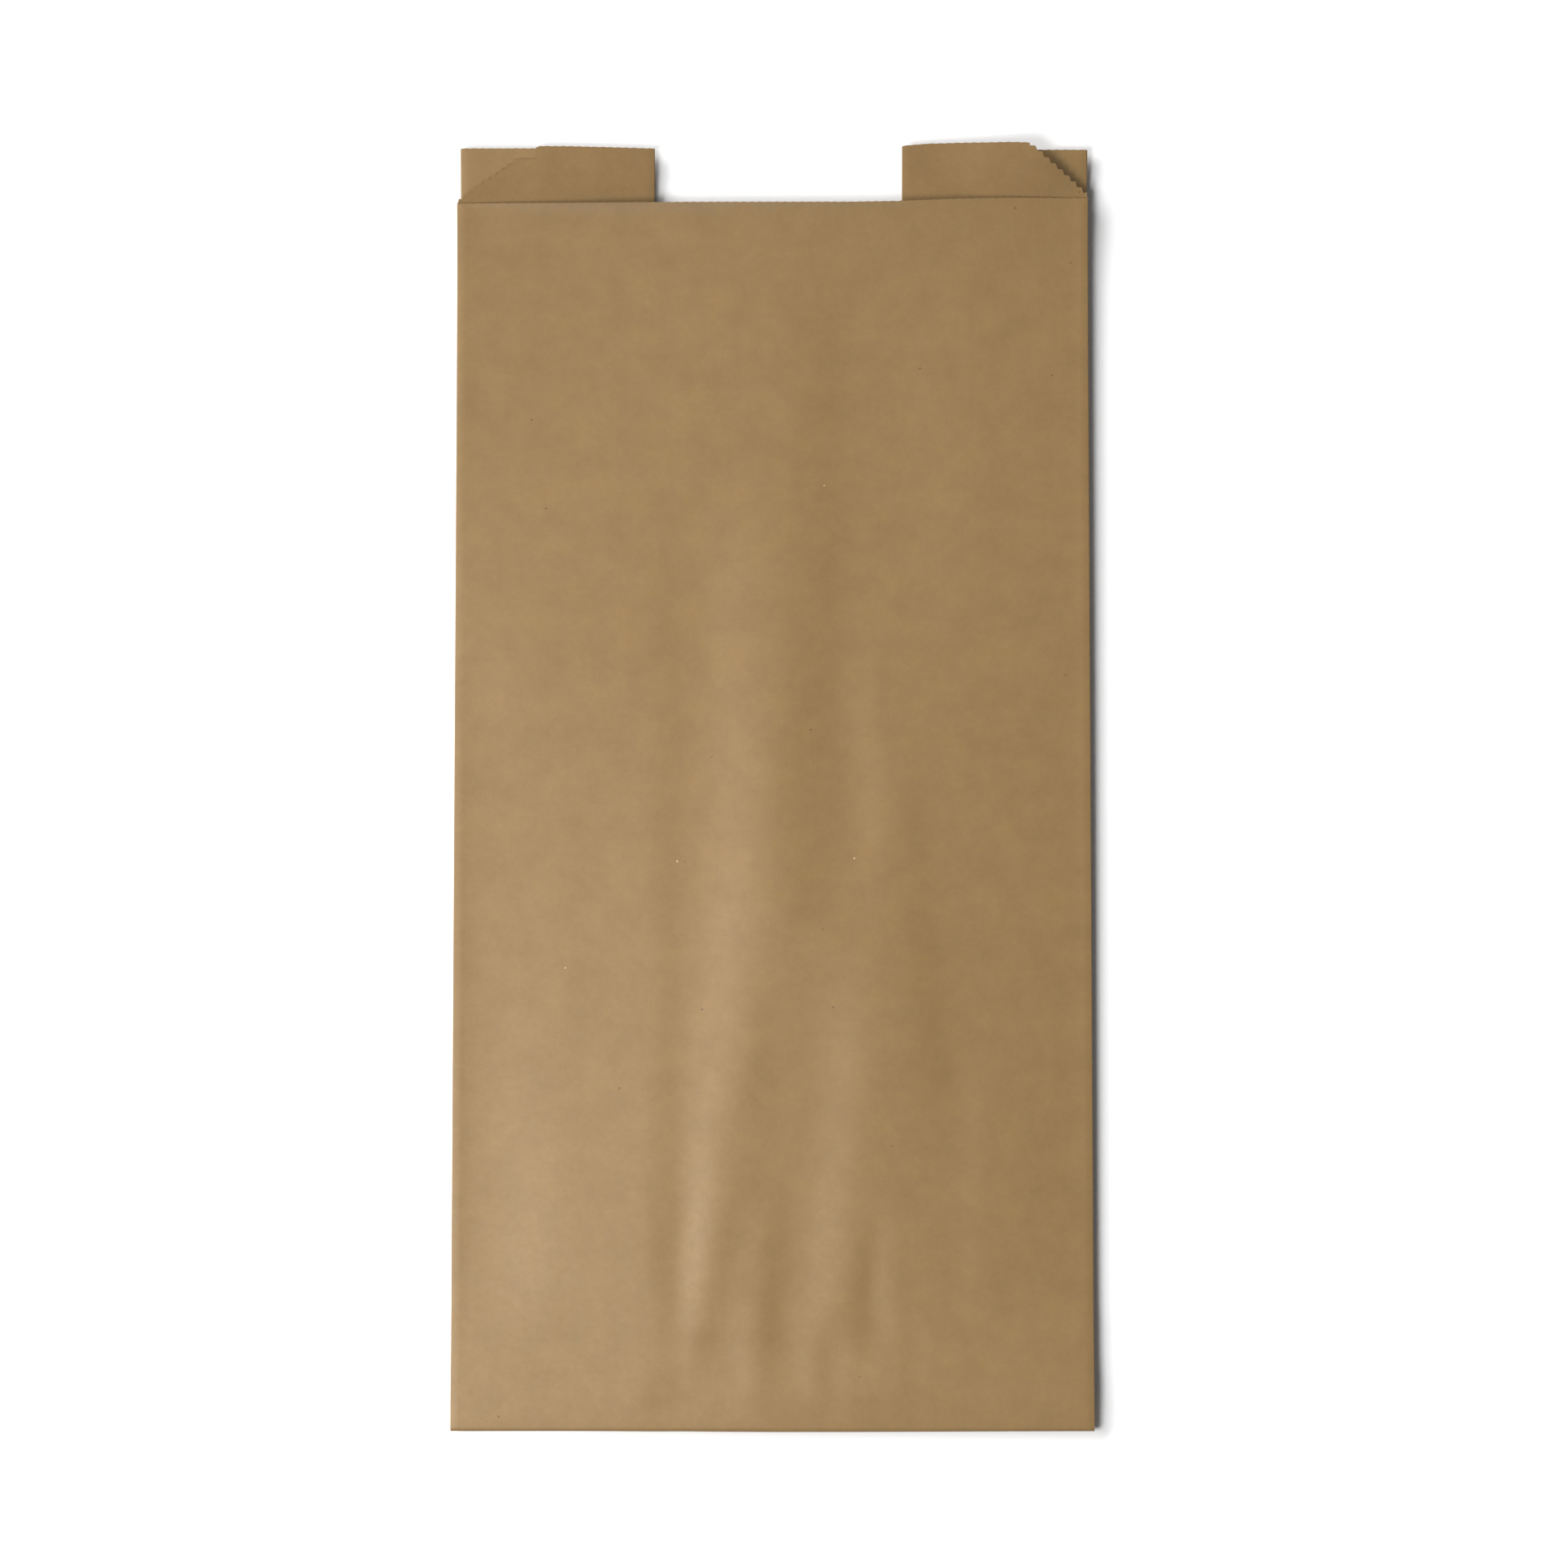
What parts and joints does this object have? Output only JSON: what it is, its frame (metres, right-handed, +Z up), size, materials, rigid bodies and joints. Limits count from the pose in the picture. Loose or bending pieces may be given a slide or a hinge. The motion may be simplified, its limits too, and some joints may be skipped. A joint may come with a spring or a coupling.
{
  "type": "gusseted paper bread bag with window",
  "caption": "Flat gusseted kraft paper bread bag with a stepped, toothed mouth, a folded and glued end and a clear film window on its underside.",
  "frame": {"origin": "middle of the underside, at the centre of the bag's width and of its whole length", "axes": "+X across the bag, +Y towards its mouth, +Z up through the plain face; the bag lies on its window side"},
  "size_m": [0.2002, 0.4045, 0.0069],
  "materials": {
    "kraft_paper": "brown machine-glazed kraft, slightly glossy on its outer side",
    "clear_film": "clear glossy film"
  },
  "bodies": {
    "root": {"kraft_paper_sheet": "kraft_paper", "window_film": "clear_film"}
  },
  "joints": []
}
